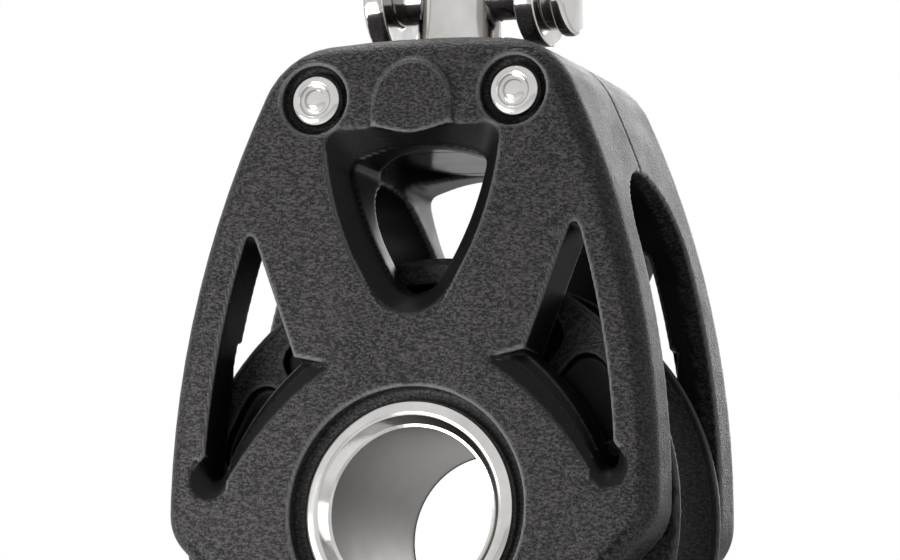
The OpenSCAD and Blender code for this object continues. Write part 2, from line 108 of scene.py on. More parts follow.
def in_view(owner: bpy.types.Material | bpy.types.World) -> bpy.types.NodeSocket:
    """Tells the rays that show the surroundings from those that light the pieces.

    Args:
        owner: The material or the world that asks.

    Returns:
        The socket that is 1 for the camera's rays and for those in metal and glass, and 0 for the rest.
    """
    path = owner.node_tree.nodes.new("ShaderNodeLightPath")
    mirrored = joined(owner, "MAXIMUM", path.outputs["Is Glossy Ray"], path.outputs["Is Transmission Ray"])
    return joined(owner, "MAXIMUM", path.outputs["Is Camera Ray"], mirrored)


class ShaderTree:
    """A node material under construction, with its principled shader and object coordinates."""

    def __init__(self, name: str) -> None:
        """Starts an empty material.

        Args:
            name: The material's name.
        """
        self.material = bpy.data.materials.new(name)
        self.material.use_nodes = True
        self.nodes = self.material.node_tree.nodes
        self.links = self.material.node_tree.links
        self.shader = self.nodes["Principled BSDF"]
        self.coords = self.nodes.new("ShaderNodeTexCoord").outputs["Object"]

    def node(self, kind: str, **settings: object) -> bpy.types.Node:
        """Adds a node.

        Args:
            kind: The node's type name.
            **settings: Properties of the node.

        Returns:
            The new node.
        """
        made = self.nodes.new(kind)
        for name, value in settings.items():
            setattr(made, name, value)
        return made

    def link(self, source: bpy.types.NodeSocket, target: bpy.types.NodeSocket) -> None:
        """Joins an output to an input."""
        self.links.new(source, target)

    def noise(self, scale: float, detail: float = 2.0, roughness: float = 0.5,
              stretch: tuple[float, float, float] = (1.0, 1.0, 1.0)) -> bpy.types.NodeSocket:
        """Adds a noise pattern on the piece's own coordinates.

        Args:
            scale: Patches per metre.
            detail: Number of finer layers.
            roughness: Strength of the finer layers.
            stretch: Factors on the coordinates along X, Y and Z.

        Returns:
            The socket with the pattern's value.
        """
        mapping = self.node("ShaderNodeMapping")
        mapping.inputs["Scale"].default_value = stretch
        self.link(self.coords, mapping.inputs["Vector"])
        pattern = self.node("ShaderNodeTexNoise")
        pattern.inputs["Scale"].default_value = scale
        pattern.inputs["Detail"].default_value = detail
        pattern.inputs["Roughness"].default_value = roughness
        self.link(mapping.outputs["Vector"], pattern.inputs["Vector"])
        return pattern.outputs["Fac"]

    def spread(self, source: bpy.types.NodeSocket, low: float, high: float,
               from_low: float = 0.3, from_high: float = 0.7) -> bpy.types.NodeSocket:
        """Maps a pattern's value to a range.

        Args:
            source: The pattern's value.
            low: Result at the lower end.
            high: Result at the upper end.
            from_low: Lower end of the pattern.
            from_high: Upper end of the pattern.

        Returns:
            The socket with the mapped value.
        """
        ramp = self.node("ShaderNodeMapRange", clamp=True)
        ramp.inputs["From Min"].default_value = from_low
        ramp.inputs["From Max"].default_value = from_high
        ramp.inputs["To Min"].default_value = low
        ramp.inputs["To Max"].default_value = high
        self.link(source, ramp.inputs["Value"])
        return ramp.outputs["Result"]

    def combine(self, operation: str, first: bpy.types.NodeSocket,
                second: bpy.types.NodeSocket | float) -> bpy.types.NodeSocket:
        """Joins two values of this material's nodes, or a value and a number."""
        return joined(self.material, operation, first, second)

    def attribute(self, name: str) -> bpy.types.NodeSocket:
        """Reads a value that is stored on the piece's points."""
        reader = self.node("ShaderNodeAttribute", attribute_name=name)
        return reader.outputs["Fac"]

    def mix(self, value: bpy.types.NodeSocket, dark: tuple[float, float, float],
            light: tuple[float, float, float] | bpy.types.NodeSocket) -> bpy.types.NodeSocket:
        """Mixes two tones by a value.

        Args:
            value: From 0 for the dark tone to 1 for the light one.
            dark: The dark tone.
            light: The light tone, or the socket of an earlier mix.

        Returns:
            The socket with the colour, which the shader now uses.
        """
        mix = self.node("ShaderNodeMix", data_type="RGBA")
        mix.inputs["A"].default_value = (*dark, 1.0)
        if isinstance(light, tuple):
            mix.inputs["B"].default_value = (*light, 1.0)
        else:
            self.link(light, mix.inputs["B"])
        self.link(value, mix.inputs["Factor"])
        self.link(mix.outputs["Result"], self.shader.inputs["Base Color"])
        return mix.outputs["Result"]

    def fade(self, value: bpy.types.NodeSocket, colour: bpy.types.NodeSocket,
             over: tuple[float, float, float]) -> None:
        """Lays one more tone over the colour so far.

        Args:
            value: How far the new tone covers, from 0 to 1.
            colour: The socket with the colour so far.
            over: The new tone.
        """
        mix = self.node("ShaderNodeMix", data_type="RGBA")
        mix.inputs["B"].default_value = (*over, 1.0)
        self.link(colour, mix.inputs["A"])
        self.link(value, mix.inputs["Factor"])
        self.link(mix.outputs["Result"], self.shader.inputs["Base Color"])

    def bump(self, height: bpy.types.NodeSocket, distance: float,
             below: bpy.types.NodeSocket | None = None) -> bpy.types.NodeSocket:
        """Roughens the surface by a height pattern.

        Args:
            height: The pattern, from 0 to 1.
            distance: The height of 1, in metres.
            below: Normal of an earlier bump that this one adds to.

        Returns:
            The socket with the bent normal, which the shader now uses.
        """
        bump = self.node("ShaderNodeBump")
        bump.inputs["Distance"].default_value = distance
        self.link(height, bump.inputs["Height"])
        if below is not None:
            self.link(below, bump.inputs["Normal"])
        self.link(bump.outputs["Normal"], self.shader.inputs["Normal"])
        return bump.outputs["Normal"]


@dataclass(frozen=True)
class GrainedMoulding:
    """Dark moulded plastic: leathery where the piece's grain is high, with lighter crests that are partly
    the grain's tone and partly painted glints, and a pale painted highlight on its sharp outer edges.
    """

    name: str
    smooth: tuple[float, float, float]
    dark: tuple[float, float, float]
    light: tuple[float, float, float]
    # The edge tone is a painted highlight on the sharp outer edges.
    edge: tuple[float, float, float] = (0.25, 0.25, 0.252)
    edge_highlight_cover: float = 0.7
    grain_scale: float = 2600.0
    grain_stretch: tuple[float, float, float] = (0.8, 1.0, 1.5)
    grain_height: float = 0.00016
    speck_ratio: float = 1.7
    speck_share: float = 0.5
    crest_low: float = 0.64
    crest_high: float = 0.96
    mottle_scale: float = 160.0
    ripple_scale: float = 420.0
    ripple_height: float = 0.00004
    roughness: float = 0.37
    specular: float = 0.12

    def material(self) -> bpy.types.Material:
        """Builds the material.

        Returns:
            The material, which reads the grain values and the edge values for its painted edge highlight on
            the piece's points.
        """
        tree = ShaderTree(self.name)
        mask = tree.attribute("grain")
        wrinkles = tree.noise(self.grain_scale, detail=2.5, roughness=0.55, stretch=self.grain_stretch)
        specks = tree.noise(self.grain_scale * self.speck_ratio, detail=1.0)
        mottle = tree.noise(self.mottle_scale, detail=4.0, roughness=0.6)
        grain = tree.combine("ADD", wrinkles, tree.combine("MULTIPLY", specks, self.speck_share))
        ripple = tree.noise(self.ripple_scale, detail=2.0)
        soft = tree.bump(ripple, self.ripple_height)
        tree.bump(tree.combine("MULTIPLY", grain, mask), self.grain_height, below=soft)
        # The crests' light tone is partly the grain's own tone and partly painted glints, which stand in
        # for lamps caught by the grain's bumps.
        crests_and_painted_glints = tree.spread(grain, 0.0, 1.0, self.crest_low, self.crest_high)
        tone = tree.combine("ADD", tree.spread(mottle, -0.03, 0.09), crests_and_painted_glints)
        grained = tree.mix(tone, self.dark, self.light)
        plain = tree.mix(mask, self.smooth, grained)
        # Painted highlight: a pale tone is laid over the sharp outer edges, where lamps would catch them.
        tree.fade(tree.combine("MULTIPLY", tree.attribute("edge"), self.edge_highlight_cover), plain, self.edge)
        rough = tree.combine("ADD", tree.spread(mottle, -0.05, 0.07), self.roughness)
        tree.link(rough, tree.shader.inputs["Roughness"])
        tree.shader.inputs["Specular IOR Level"].default_value = self.specular
        return tree.material


@dataclass(frozen=True)
class GlossMoulding:
    """Smooth glossy plastic with slight flow marks."""

    name: str
    dark: tuple[float, float, float]
    light: tuple[float, float, float]
    roughness: float = 0.16
    specular: float = 0.1
    flow_scale: float = 260.0
    flow_height: float = 0.00003

    def material(self) -> bpy.types.Material:
        """Builds the material.

        Returns:
            The material.
        """
        tree = ShaderTree(self.name)
        flow = tree.noise(self.flow_scale, detail=3.0)
        tree.bump(flow, self.flow_height)
        tree.mix(tree.spread(flow, 0.0, 1.0), self.dark, self.light)
        rough = tree.combine("ADD", tree.spread(flow, -0.04, 0.06), self.roughness)
        tree.link(rough, tree.shader.inputs["Roughness"])
        tree.shader.inputs["Specular IOR Level"].default_value = self.specular
        return tree.material


@dataclass(frozen=True)
class TurnedMetal:
    """Turned or drawn metal, with fine marks, whose height is in metres, and a slight change of tone."""

    name: str
    dark: tuple[float, float, float]
    light: tuple[float, float, float]
    roughness: float
    marks: float
    stretch: tuple[float, float, float] = (1.0, 1.0, 1.0)
    mark_scale: float = 2600.0
    cloud_scale: float = 210.0

    def material(self) -> bpy.types.Material:
        """Builds the material.

        Returns:
            The material.
        """
        tree = ShaderTree(self.name)
        brushed = tree.noise(self.mark_scale, detail=2.0, stretch=self.stretch)
        cloud = tree.noise(self.cloud_scale, detail=3.0)
        tree.bump(brushed, self.marks)
        tree.mix(tree.spread(cloud, 0.0, 1.0), self.dark, self.light)
        rough = tree.combine("ADD", tree.spread(cloud, -0.04, 0.05), self.roughness)
        tree.link(rough, tree.shader.inputs["Roughness"])
        tree.shader.inputs["Metallic"].default_value = 1.0
        return tree.material


# The light tone of each grained finish is its crests' tone, partly painted glints.
CHEEK_FINISH = GrainedMoulding("charcoal_moulding", (0.005, 0.005, 0.0055), (0.013, 0.013, 0.0135),
                               (0.108, 0.098, 0.099))
# The sheave's last tone is the pale painted highlight on its sharp edges.
SHEAVE_FINISH = GrainedMoulding("sheave_moulding", (0.005, 0.005, 0.0055), (0.012, 0.012, 0.0125),
                                (0.09, 0.09, 0.091), (0.12, 0.12, 0.121))
CORE_FINISH = GlossMoulding("glossy_black", (0.004, 0.004, 0.0045), (0.008, 0.008, 0.0085))
ACETAL_FINISH = GlossMoulding("white_acetal", (0.72, 0.7, 0.64), (0.82, 0.8, 0.75), 0.25, 0.4)
POLISHED = TurnedMetal("polished_stainless", (0.52, 0.508, 0.496), (0.66, 0.65, 0.634), 0.1, 0.000002)
SATIN = TurnedMetal("satin_stainless", (0.48, 0.465, 0.45), (0.62, 0.608, 0.594), 0.13, 0.000003,
                    (1.0, 1.0, 0.12))
CORE_METAL = TurnedMetal("satin_core", (0.18, 0.171, 0.164), (0.25, 0.238, 0.23), 0.48, 0.000006,
                         (1.0, 0.12, 1.0))


def piece_from(bm: bmesh.types.BMesh, name: str, smooth: bool = True) -> bpy.types.Object:
    """Turns a finished bmesh into a piece of the scene.

    Args:
        bm: The mesh under construction, which is freed.
        name: The piece's name.
        smooth: Whether its faces are shaded smooth.

    Returns:
        The new object, at the origin.
    """
    for face in bm.faces:
        face.smooth = smooth
    mesh = bpy.data.meshes.new(name)
    bm.to_mesh(mesh)
    bm.free()
    made = bpy.data.objects.new(name, mesh)
    bpy.context.scene.collection.objects.link(made)
    return made


def dress(piece: bpy.types.Object, material: bpy.types.Material) -> None:
    """Gives a piece one material in place of any that it has."""
    piece.data.materials.clear()
    piece.data.materials.append(material)


def seat(piece: bpy.types.Object, material: bpy.types.Material, node: str) -> None:
    """Dresses a new piece and puts it in the place of a CAD node, on the same body.

    Args:
        piece: The new piece.
        material: Its finish.
        node: The node that it stands for.
    """
    dress(piece, material)
    body = frame["nodes"][node]["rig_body"]
    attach(piece, body)
    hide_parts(node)
    LOG.info("%s stands for %s on %s", piece.name, node, body)


def node_mesh(node: str) -> bmesh.types.BMesh:
    """Copies a CAD node's mesh and merges its loose triangles.

    Args:
        node: The node's name.

    Returns:
        The merged copy.
    """
    bm = bmesh.new()
    bm.from_mesh(frame["nodes"][node].data)
    bmesh.ops.remove_doubles(bm, verts=bm.verts, dist=0.002 * MM)
    return bm


def baked(piece: bpy.types.Object) -> bmesh.types.BMesh:
    """Applies a piece's modifiers and removes the piece.

    Args:
        piece: The piece, which is removed.

    Returns:
        Its finished mesh.
    """
    graph = bpy.context.evaluated_depsgraph_get()
    mesh = bpy.data.meshes.new_from_object(piece.evaluated_get(graph))
    bpy.data.objects.remove(piece)
    bm = bmesh.new()
    bm.from_mesh(mesh)
    bpy.data.meshes.remove(mesh)
    return bm


def smooth_points(bm: bmesh.types.BMesh, points: list[bmesh.types.BMVert], rounds: int) -> None:
    """Draws points half way to the middle of their neighbours.

    Args:
        bm: The mesh.
        points: The points.
        rounds: How often it is done.
    """
    for _ in range(rounds):
        bmesh.ops.smooth_vert(bm, verts=points, factor=0.5,
                              use_axis_x=True, use_axis_y=True, use_axis_z=True)


@dataclass(frozen=True)
class Mould:
    """How a moulded or forged piece is rebuilt in small even faces, with its edges eased.

    The voxel is in mm, and triangles is the most that the piece keeps.
    """

    voxel: float
    rounds: int
    triangles: int

    def soften(self, bm: bmesh.types.BMesh, name: str) -> bmesh.types.BMesh:
        """Rebuilds a mesh and lets its edges run soft, as a mould leaves them.

        Args:
            bm: The sharp mesh, which is freed.
            name: A name for the passing objects.

        Returns:
            The soft mesh, with fewer faces where it is flat.
        """
        sharp = piece_from(bm, name)
        remesh = sharp.modifiers.new("even", "REMESH")
        remesh.mode = "VOXEL"
        remesh.voxel_size = self.voxel * MM
        even = baked(sharp)
        smooth_points(even, even.verts[:], self.rounds)
        count = sum(len(face.verts) - 2 for face in even.faces)
        LOG.info("%s: %d triangles before thinning", name, count)
        dense = piece_from(even, name)
        thin = dense.modifiers.new("thin", "DECIMATE")
        thin.ratio = min(1.0, self.triangles / count)
        return baked(dense)


@dataclass(frozen=True)
class Corner:
    """One corner of a turned profile: its radius, its place along the axis and its rounding, in mm."""

    radius: float
    along: float
    round: float = 0.0


class Axis(Enum):
    """The axis that a turned piece is made round."""

    X = Vector((1.0, 0.0, 0.0))
    Y = Vector((0.0, 1.0, 0.0))
    Z = Vector((0.0, 0.0, 1.0))

    def point(self, corner: Corner, centre: Vector) -> Vector:
        """Places a corner of a profile in space.

        Args:
            corner: The corner.
            centre: A point of the axis.

        Returns:
            The corner's place, in metres.
        """
        outward = Vector((0.0, 0.0, 1.0)) if self is not Axis.Z else Vector((1.0, 0.0, 0.0))
        return centre + (self.value * corner.along + outward * corner.radius) * MM


def turned(profile: list[Corner], axis: Axis, centre: Vector = Vector(), steps: int = 128,
           closed: bool = False) -> bmesh.types.BMesh:
    """Turns a profile round an axis, with its corners rounded first.

    Args:
        profile: The corners in order.
        axis: The axis to turn round.
        centre: A point of the axis, in metres.
        steps: Faces in a full turn.
        closed: Whether the profile is a closed loop, as a ring's section is.

    Returns:
        The turned mesh.
    """
    bm = bmesh.new()
    points = [bm.verts.new(axis.point(corner, centre)) for corner in profile]
    pairs = list(zip(points, points[1:]))
    if closed:
        pairs.append((points[-1], points[0]))
    for start, end in pairs:
        bm.edges.new((start, end))
    for corner, point in zip(profile, points):
        if corner.round > 0:
            bmesh.ops.bevel(bm, geom=[point], offset=corner.round * MM, offset_type="OFFSET",
                            segments=5, profile=0.5, affect="VERTICES", material=-1)
    bmesh.ops.spin(bm, geom=bm.verts[:] + bm.edges[:], cent=centre, axis=axis.value,
                   angle=FULL_TURN, steps=steps, use_merge=True)
    bmesh.ops.remove_doubles(bm, verts=bm.verts, dist=0.001 * MM)
    bmesh.ops.recalc_face_normals(bm, faces=bm.faces)
    return bm


def cut(piece: bpy.types.Object, cutter: bmesh.types.BMesh) -> None:
    """Cuts a shape out of a piece.

    Args:
        piece: The piece.
        cutter: The shape to take away, which is freed.
    """
    tool = piece_from(cutter, piece.name + "_cutter", smooth=False)
    boolean = piece.modifiers.new("cut", "BOOLEAN")
    boolean.object = tool
    boolean.operation = "DIFFERENCE"
    boolean.solver = "EXACT"
    graph = bpy.context.evaluated_depsgraph_get()
    mesh = bpy.data.meshes.new_from_object(piece.evaluated_get(graph))
    piece.modifiers.clear()
    old = piece.data
    piece.data = mesh
    bpy.data.meshes.remove(old)
    bpy.data.objects.remove(tool)


def crisp(piece: bpy.types.Object, angle: float = 40.0) -> None:
    """Keeps sharp edges sharp on a piece that is shaded smooth.

    Args:
        piece: The piece.
        angle: Angle in degrees past which an edge is sharp.
    """
    piece.data.set_sharp_from_angle(angle=math.radians(angle))


@dataclass(frozen=True)
class BlendBox:
    """A box, given in mm, inside which a blended surface is evened out."""

    low: tuple[float, float, float]
    high: tuple[float, float, float]
    rounds: int

    def mirrored(self) -> "BlendBox":
        """Gives the same box on the other side of the block, along X."""
        return BlendBox((-self.high[0], *self.low[1:]), (-self.low[0], *self.high[1:]), self.rounds)

    def ease(self, bm: bmesh.types.BMesh) -> None:
        """Smooths the points inside the box.

        Args:
            bm: The mesh.
        """
        low, high = Vector(self.low) * MM, Vector(self.high) * MM
        inside = [vert for vert in bm.verts if all(low[i] < vert.co[i] < high[i] for i in range(3))]
        smooth_points(bm, inside, self.rounds)


def mark_edge_highlight(bm: bmesh.types.BMesh, low: float = 0.28, high: float = 0.85,
               least_square: float = 0.01) -> None:
    """Stores how sharply the surface bends outwards at each point, from 0 to 1, where the materials lay a
    painted edge highlight.

    Args:
        bm: The mesh.
        low: Bend, per mm, that counts as flat.
        high: Bend, per mm, that counts as a full edge.
        least_square: Square of the step between two points, in mm, below which it counts as this.
    """
    layer = bm.verts.layers.float.new("edge")
    bm.normal_update()
    for vert in bm.verts:
        bends = []
        for edge in vert.link_edges:
            step = (vert.co - edge.other_vert(vert).co) / MM
            bends.append(2.0 * step.dot(vert.normal) / max(step.length_squared, least_square))
        bend = sum(bends) / max(len(bends), 1)
        vert[layer] = clamp((bend - low) / (high - low))


@dataclass
class Cheeks:
    """The two moulded cheeks, with their soft edges and the grain on their outer faces."""

    mould: Mould = Mould(0.25, 3, 180000)
    window_blends: tuple[BlendBox, ...] = (
        BlendBox((-12.0, -14.9, 21.0), (12.0, -12.2, 46.0), 8),
        BlendBox((-13.0, -13.3, 17.0), (13.0, -3.0, 44.0), 6),
    )
    foot_blend: BlendBox = BlendBox((22.0, -15.4, 0.0), (27.5, -11.5, 6.4), 14)
    face_y: float = 15.15
    grain_reach: float = 1.35
    grain_drop: float = 0.9
    facing_low: float = 0.92
    facing_band: float = 0.055
    flank_t: float = 2.2
    top_z: float = 54.6
    boss_x: float = 6.5
    boss_z: float = 42.4
    boss_t: float = 0.9
    boss_overhang: float = 0.2
    rivet_x: float = RIVET_X
    rivet_z: float = RIVET_Z
    well_reach: float = 4.6
    ring_reach: float = 16.0
    inner_grain: float = 0.05
    flank_grain: float = 0.65
    # The wells' value lifts their tone as painted light, besides giving them grain.
    well_grain_and_painted_light: float = 0.55
    boss_grain: float = 0.85

    def build(self, material: bpy.types.Material) -> None:
        """Builds both cheeks.

        Args:
            material: The cheeks' finish.
        """
        bm = self.mould.soften(node_mesh("front_cheek"), "front_cheek_sharp")
        for blend in (*self.window_blends, self.foot_blend.mirrored(), self.foot_blend):
            blend.ease(bm)
        self._mark_grain(bm)
        mark_edge_highlight(bm)
        rear = bm.copy()
        bmesh.ops.rotate(rear, verts=rear.verts, cent=Vector(), matrix=Matrix.Rotation(math.pi, 3, "Z"))
        seat(piece_from(bm, "front_cheek_moulding"), material, "front_cheek")
        seat(piece_from(rear, "rear_cheek_moulding"), material, "rear_cheek")

    def _mark_grain(self, bm: bmesh.types.BMesh) -> None:
        """Stores how strong the grain is: full on the outer faces, less on the flanks, faint elsewhere, and
        raised in the rivet wells and the recess round the axle ring, where its lighter tone is partly
        painted light.

        Args:
            bm: The front cheek's mesh.
        """
        layer = bm.verts.layers.float.new("grain")
        bm.normal_update()
        widest: dict[int, float] = {}
        for vert in bm.verts:
            x, z = abs(vert.co.x) / MM, vert.co.z / MM
            widest[round(z)] = max(widest.get(round(z), 0.0), x)
        for vert in bm.verts:
            x, z = abs(vert.co.x) / MM, vert.co.z / MM
            depth = self.face_y + vert.co.y / MM
            outer = clamp(self.grain_reach - depth / self.grain_drop)
            facing = clamp((-vert.normal.y - self.facing_low) / self.facing_band)
            flank = x > widest[round(z)] - self.flank_t or z > self.top_z - self.flank_t
            # Painted light: the rivet wells and the recess round the axle ring take a lighter grained tone,
            # which stands in for the light that falls on their walls from below.
            recessed = math.hypot(x - self.rivet_x, z - self.rivet_z) < self.well_reach
            recessed = recessed or math.hypot(x, z) < self.ring_reach
            boss = x < self.boss_x and z > self.boss_z and depth < self.boss_t
            boss = boss and vert.normal.z > -self.boss_overhang
            strongest = max(outer * facing, self.flank_grain * flank,
                            self.well_grain_and_painted_light * recessed, self.boss_grain * boss)
            vert[layer] = self.inner_grain + (1.0 - self.inner_grain) * strongest


@dataclass
class Sheave:
    """The grooved sheave, with a grained rim band and groove and smooth lips and pockets."""

    mould: Mould = Mould(0.25, 3, 180000)
    radius: float = 30.0
    half_width: float = 7.75
    groove_centre: float = 30.6
    groove_reach: float = 6.8
    web_drop: float = 0.5
    lip_t: float = 0.85
    smooth_grain: float = 0.04
    groove_grain: float = 0.55
    web_grain: float = 0.8

    def build(self, material: bpy.types.Material) -> None:
        """Builds the sheave.

        Args:
            material: The sheave's finish.
        """
        bm = self.mould.soften(node_mesh("sheave"), "sheave_sharp")
        self._mark_grain(bm)
        mark_edge_highlight(bm)
        seat(piece_from(bm, "sheave_moulding"), material, "sheave")

    def _mark_grain(self, bm: bmesh.types.BMesh) -> None:
        """Stores the grain: on the rim bands, ribs and groove, next to none on the lips and in the pockets.

        Args:
            bm: The sheave's mesh.
        """
        layer = bm.verts.layers.float.new("grain")
        for vert in bm.verts:
            radius = math.hypot(vert.co.x, vert.co.z) / MM
            across = abs(vert.co.y) / MM
            grain = self.smooth_grain
            if radius <= self.radius - self.lip_t:
                if math.hypot(radius - self.groove_centre, across) < self.groove_reach:
                    grain = self.groove_grain
                elif self.half_width - across < self.web_drop:
                    grain = self.web_grain
            vert[layer] = grain


@dataclass
class HollowAxle:
    """The satin core tube and the two polished rings at its ends."""

    bore: float = 9.85
    wall: float = 2.0
    seat_y: float = 13.05
    crest_y: float = 14.55
    ring_radius: float = 12.9
    end_round: float = 0.1
    ring_fit: float = 0.1
    roll_h: float = 0.85
    roll_w: float = 1.0
    land_in: float = 1.4
    chamfer_out: float = 1.2
    chamfer_h: float = 1.36
    lip_t: float = 0.34

    def build(self, core: bpy.types.Material, polished: bpy.types.Material) -> None:
        """Builds the tube and both rings.

        Args:
            core: The tube's finish.
            polished: The rings' finish.
        """
        outer = self.bore + self.wall
        ends = ((self.bore, -1), (outer, -1), (outer, 1), (self.bore, 1))
        section = [Corner(radius, end * self.seat_y, self.end_round) for radius, end in ends]
        tube = piece_from(turned(section, Axis.Y, steps=160, closed=True), "core_tube")
        crisp(tube)
        seat(tube, core, "axle_tube")
        for side, node in ((Side.FRONT, "front_axle_ring"), (Side.REAR, "rear_axle_ring")):
            ring = piece_from(turned(self._ring(side), Axis.Y, steps=160, closed=True), node + "_polished")
            crisp(ring, 60.0)
            seat(ring, polished, node)

    def _ring(self, side: Side) -> list[Corner]:
        """Lists the corners of a ring's section: a rolled lip, a crest and a chamfer into the bore.

        Args:
            side: The side of the block that the ring is on.

        Returns:
            The corners in order.
        """
        throat = self.bore - self.ring_fit
        rim = self.ring_radius
        crest = self.crest_y
        corners = [
            Corner(throat, self.seat_y), Corner(rim, self.seat_y, 0.15),
            Corner(rim, crest - self.roll_h, 0.6), Corner(rim - 0.42, crest - 0.28, 0.4),
            Corner(rim - self.roll_w, crest, 0.5), Corner(throat + self.land_in, crest - 0.02, 0.2),
            Corner(throat + self.chamfer_out, crest - 0.16, 0.1),
            Corner(throat + self.lip_t, crest - self.chamfer_h, 0.05),
            Corner(throat, crest - self.chamfer_h - 0.06, 0.04),
        ]
        return [Corner(c.radius, c.along * side.value, c.round) for c in corners]


@dataclass
class Rivets:
    """The two through rivets, with a rolled rim, a groove and a round button on each head.

    The face lists the head's corners from its rim inwards: share of the radius, depth and rounding in mm.
    """

    spacing: float = RIVET_X
    height: float = RIVET_Z
    seat_y: float = 13.5
    head_h: float = 1.55
    head_radius: float = 3.15
    shank: float = 2.0
    face: tuple[tuple[float, float, float], ...] = (
        (0.62, 0.06, 0.2), (0.54, 0.6, 0.15), (0.42, 0.55, 0.2), (0.3, 0.22, 0.35), (0.0, 0.12, 0.0),
    )

    def build(self, material: bpy.types.Material) -> None:
        """Builds both rivets.

        Args:
            material: The rivets' finish.
        """
        for node, x in (("left_rivet", -self.spacing), ("right_rivet", self.spacing)):
            centre = Vector((x, 0.0, self.height)) * MM
            head = self._head()
            rear = [Corner(c.radius, c.along, c.round) for c in head]
            front = [Corner(c.radius, -c.along, c.round) for c in reversed(head)]
            rivet = piece_from(turned(front + rear, Axis.Y, centre, steps=96), node + "_spun")
            crisp(rivet, 55.0)
            seat(rivet, material, node)

    def _head(self) -> list[Corner]:
        """Lists the corners from the shank to the middle of one head.

        Returns:
            The corners in order.
        """
        top = self.seat_y + self.head_h
        rim = self.head_radius
        rolled = [
            Corner(self.shank, self.seat_y - 0.3), Corner(self.shank, self.seat_y),
            Corner(rim - 0.2, self.seat_y, 0.1), Corner(rim, self.seat_y + 0.5, 0.3),
            Corner(rim, top - 0.65, 0.6), Corner(rim - 0.65, top, 0.5),
        ]
        return rolled + [Corner(rim * share, top - depth, soft) for share, depth, soft in self.face]


@dataclass
class Head:
    """The glossy core in the head with its cover, and the post that turns in it."""

    post_radius: float = 5.0
    foot_radius: float = 6.9
    foot_low: float = 44.5
    foot_high: float = 46.2
    eye_z: float = 63.2
    pin_z: float = PIN_Z
    pin_hole: float = 3.28
    hole_reach: float = 20.0
    dome_round: float = 4.5
    flat_angle: float = 1.0
    edge_round: float = 0.25
    edge_angle: float = 50.0

    def build(self, core: bpy.types.Material, steel: bpy.types.Material) -> None:
        """Builds the core, its cover and the post.

        Args:
            core: Finish of the core and the cover.
            steel: Finish of the post.
        """
        for node in ("head_core", "post_foot_cover"):
            bm = node_mesh(node)
            bmesh.ops.dissolve_limit(bm, angle_limit=math.radians(self.flat_angle),
                                     verts=bm.verts, edges=bm.edges)
            piece = piece_from(bm, node + "_moulding")
            bevel = piece.modifiers.new("soft_edges", "BEVEL")
            bevel.width = self.edge_round * MM
            bevel.segments = 3
            bevel.limit_method = "ANGLE"
            bevel.angle_limit = math.radians(self.edge_angle)
            crisp(piece)
            seat(piece, core, node)
        post = piece_from(turned(self._post(), Axis.Z, steps=128), "swivel_post")
        cut(post, self._hole())
        crisp(post)
        seat(post, steel, "head_post")

    def _post(self) -> list[Corner]:
        """Lists the corners of the post, from under its foot to its rounded top.

        Returns:
            The corners in order.
        """
        top = self.eye_z + self.post_radius
        return [
            Corner(0.0, self.foot_low), Corner(self.foot_radius, self.foot_low, 0.3),
            Corner(self.foot_radius, self.foot_high, 0.2), Corner(self.post_radius, self.foot_high, 0.2),
            Corner(self.post_radius, top, self.dome_round), Corner(0.0, top),
        ]

    def _hole(self) -> bmesh.types.BMesh:
        """Makes the rod that cuts the cross pin's hole.

        Returns:
            The rod, along X at the pin's height.
        """
        reach = self.hole_reach
        rod = [Corner(0.0, -reach), Corner(self.pin_hole, -reach),
               Corner(self.pin_hole, reach), Corner(0.0, reach)]
        return turned(rod, Axis.X, Vector((0.0, 0.0, self.pin_z)) * MM, steps=64)


@dataclass
class Shackle:
    """The forged bow and the cross pin with its barrel and knob."""

    shift: float = 0.6
    pin_z: float = PIN_Z
    pin_radius: float = 3.2
    ear_out: float = 10.45
    barrel_h: float = 1.5
    barrel_radius: float = 4.6
    knob_h: float = 1.7
    knob_radius: float = 5.5
    tip_out: float = 0.4
    dome_h: float = 0.3
    mould: Mould = Mould(0.24, 6, 90000)

    def build(self, steel: bpy.types.Material, pin_steel: bpy.types.Material) -> None:
        """Builds the bow and the pin.

        Args:
            steel: The bow's finish.
            pin_steel: The pin's finish.
        """
        bow = self.mould.soften(node_mesh("shackle_bow"), "shackle_bow_sharp")
        seat(piece_from(bow, "forged_bow"), steel, "shackle_bow")
        centre = Vector((self.shift, 0.0, self.pin_z)) * MM
        pin = piece_from(turned(self._pin(), Axis.X, centre, steps=128), "cross_pin_turned")
        crisp(pin, 45.0)
        seat(pin, pin_steel, "shackle_pin")

    def _pin(self) -> list[Corner]:
        """Lists the corners of the pin, from its tip in the left ear to the middle of its knob.

        Returns:
            The corners in order.
        """
        knob = self.ear_out + self.barrel_h
        end = knob + self.knob_h
        return [
            Corner(0.0, -self.ear_out - self.tip_out),
            Corner(self.pin_radius, -self.ear_out - self.tip_out, 0.35),
            Corner(self.pin_radius, self.ear_out), Corner(self.barrel_radius, self.ear_out, 0.2),
            Corner(self.barrel_radius, knob, 0.2), Corner(self.knob_radius, knob, 0.5),
            Corner(self.knob_radius, end, 0.8), Corner(0.0, end + self.dome_h),
        ]


@dataclass
class Bearing:
    """The pieces that stay hidden between the cheeks and keep their CAD shape."""

    metal: tuple[str, ...] = ("inner_race", "outer_race")
    white: tuple[str, ...] = ("front_balls", "rear_balls", "front_side_washer", "rear_side_washer",
                              "post_thrust_washer")
    black: tuple[str, ...] = ("front_ball_retainer", "rear_ball_retainer")

    def build(self, metal: bpy.types.Material, white: bpy.types.Material,
              black: bpy.types.Material) -> None:
        """Dresses the hidden pieces.

        Args:
            metal: Finish of the races.
            white: Finish of the balls and washers.
            black: Finish of the retainers.
        """
        for names, material in ((self.metal, metal), (self.white, white), (self.black, black)):
            for name in names:
                dress(frame["nodes"][name], material)
                LOG.info("%s keeps its CAD shape", name)


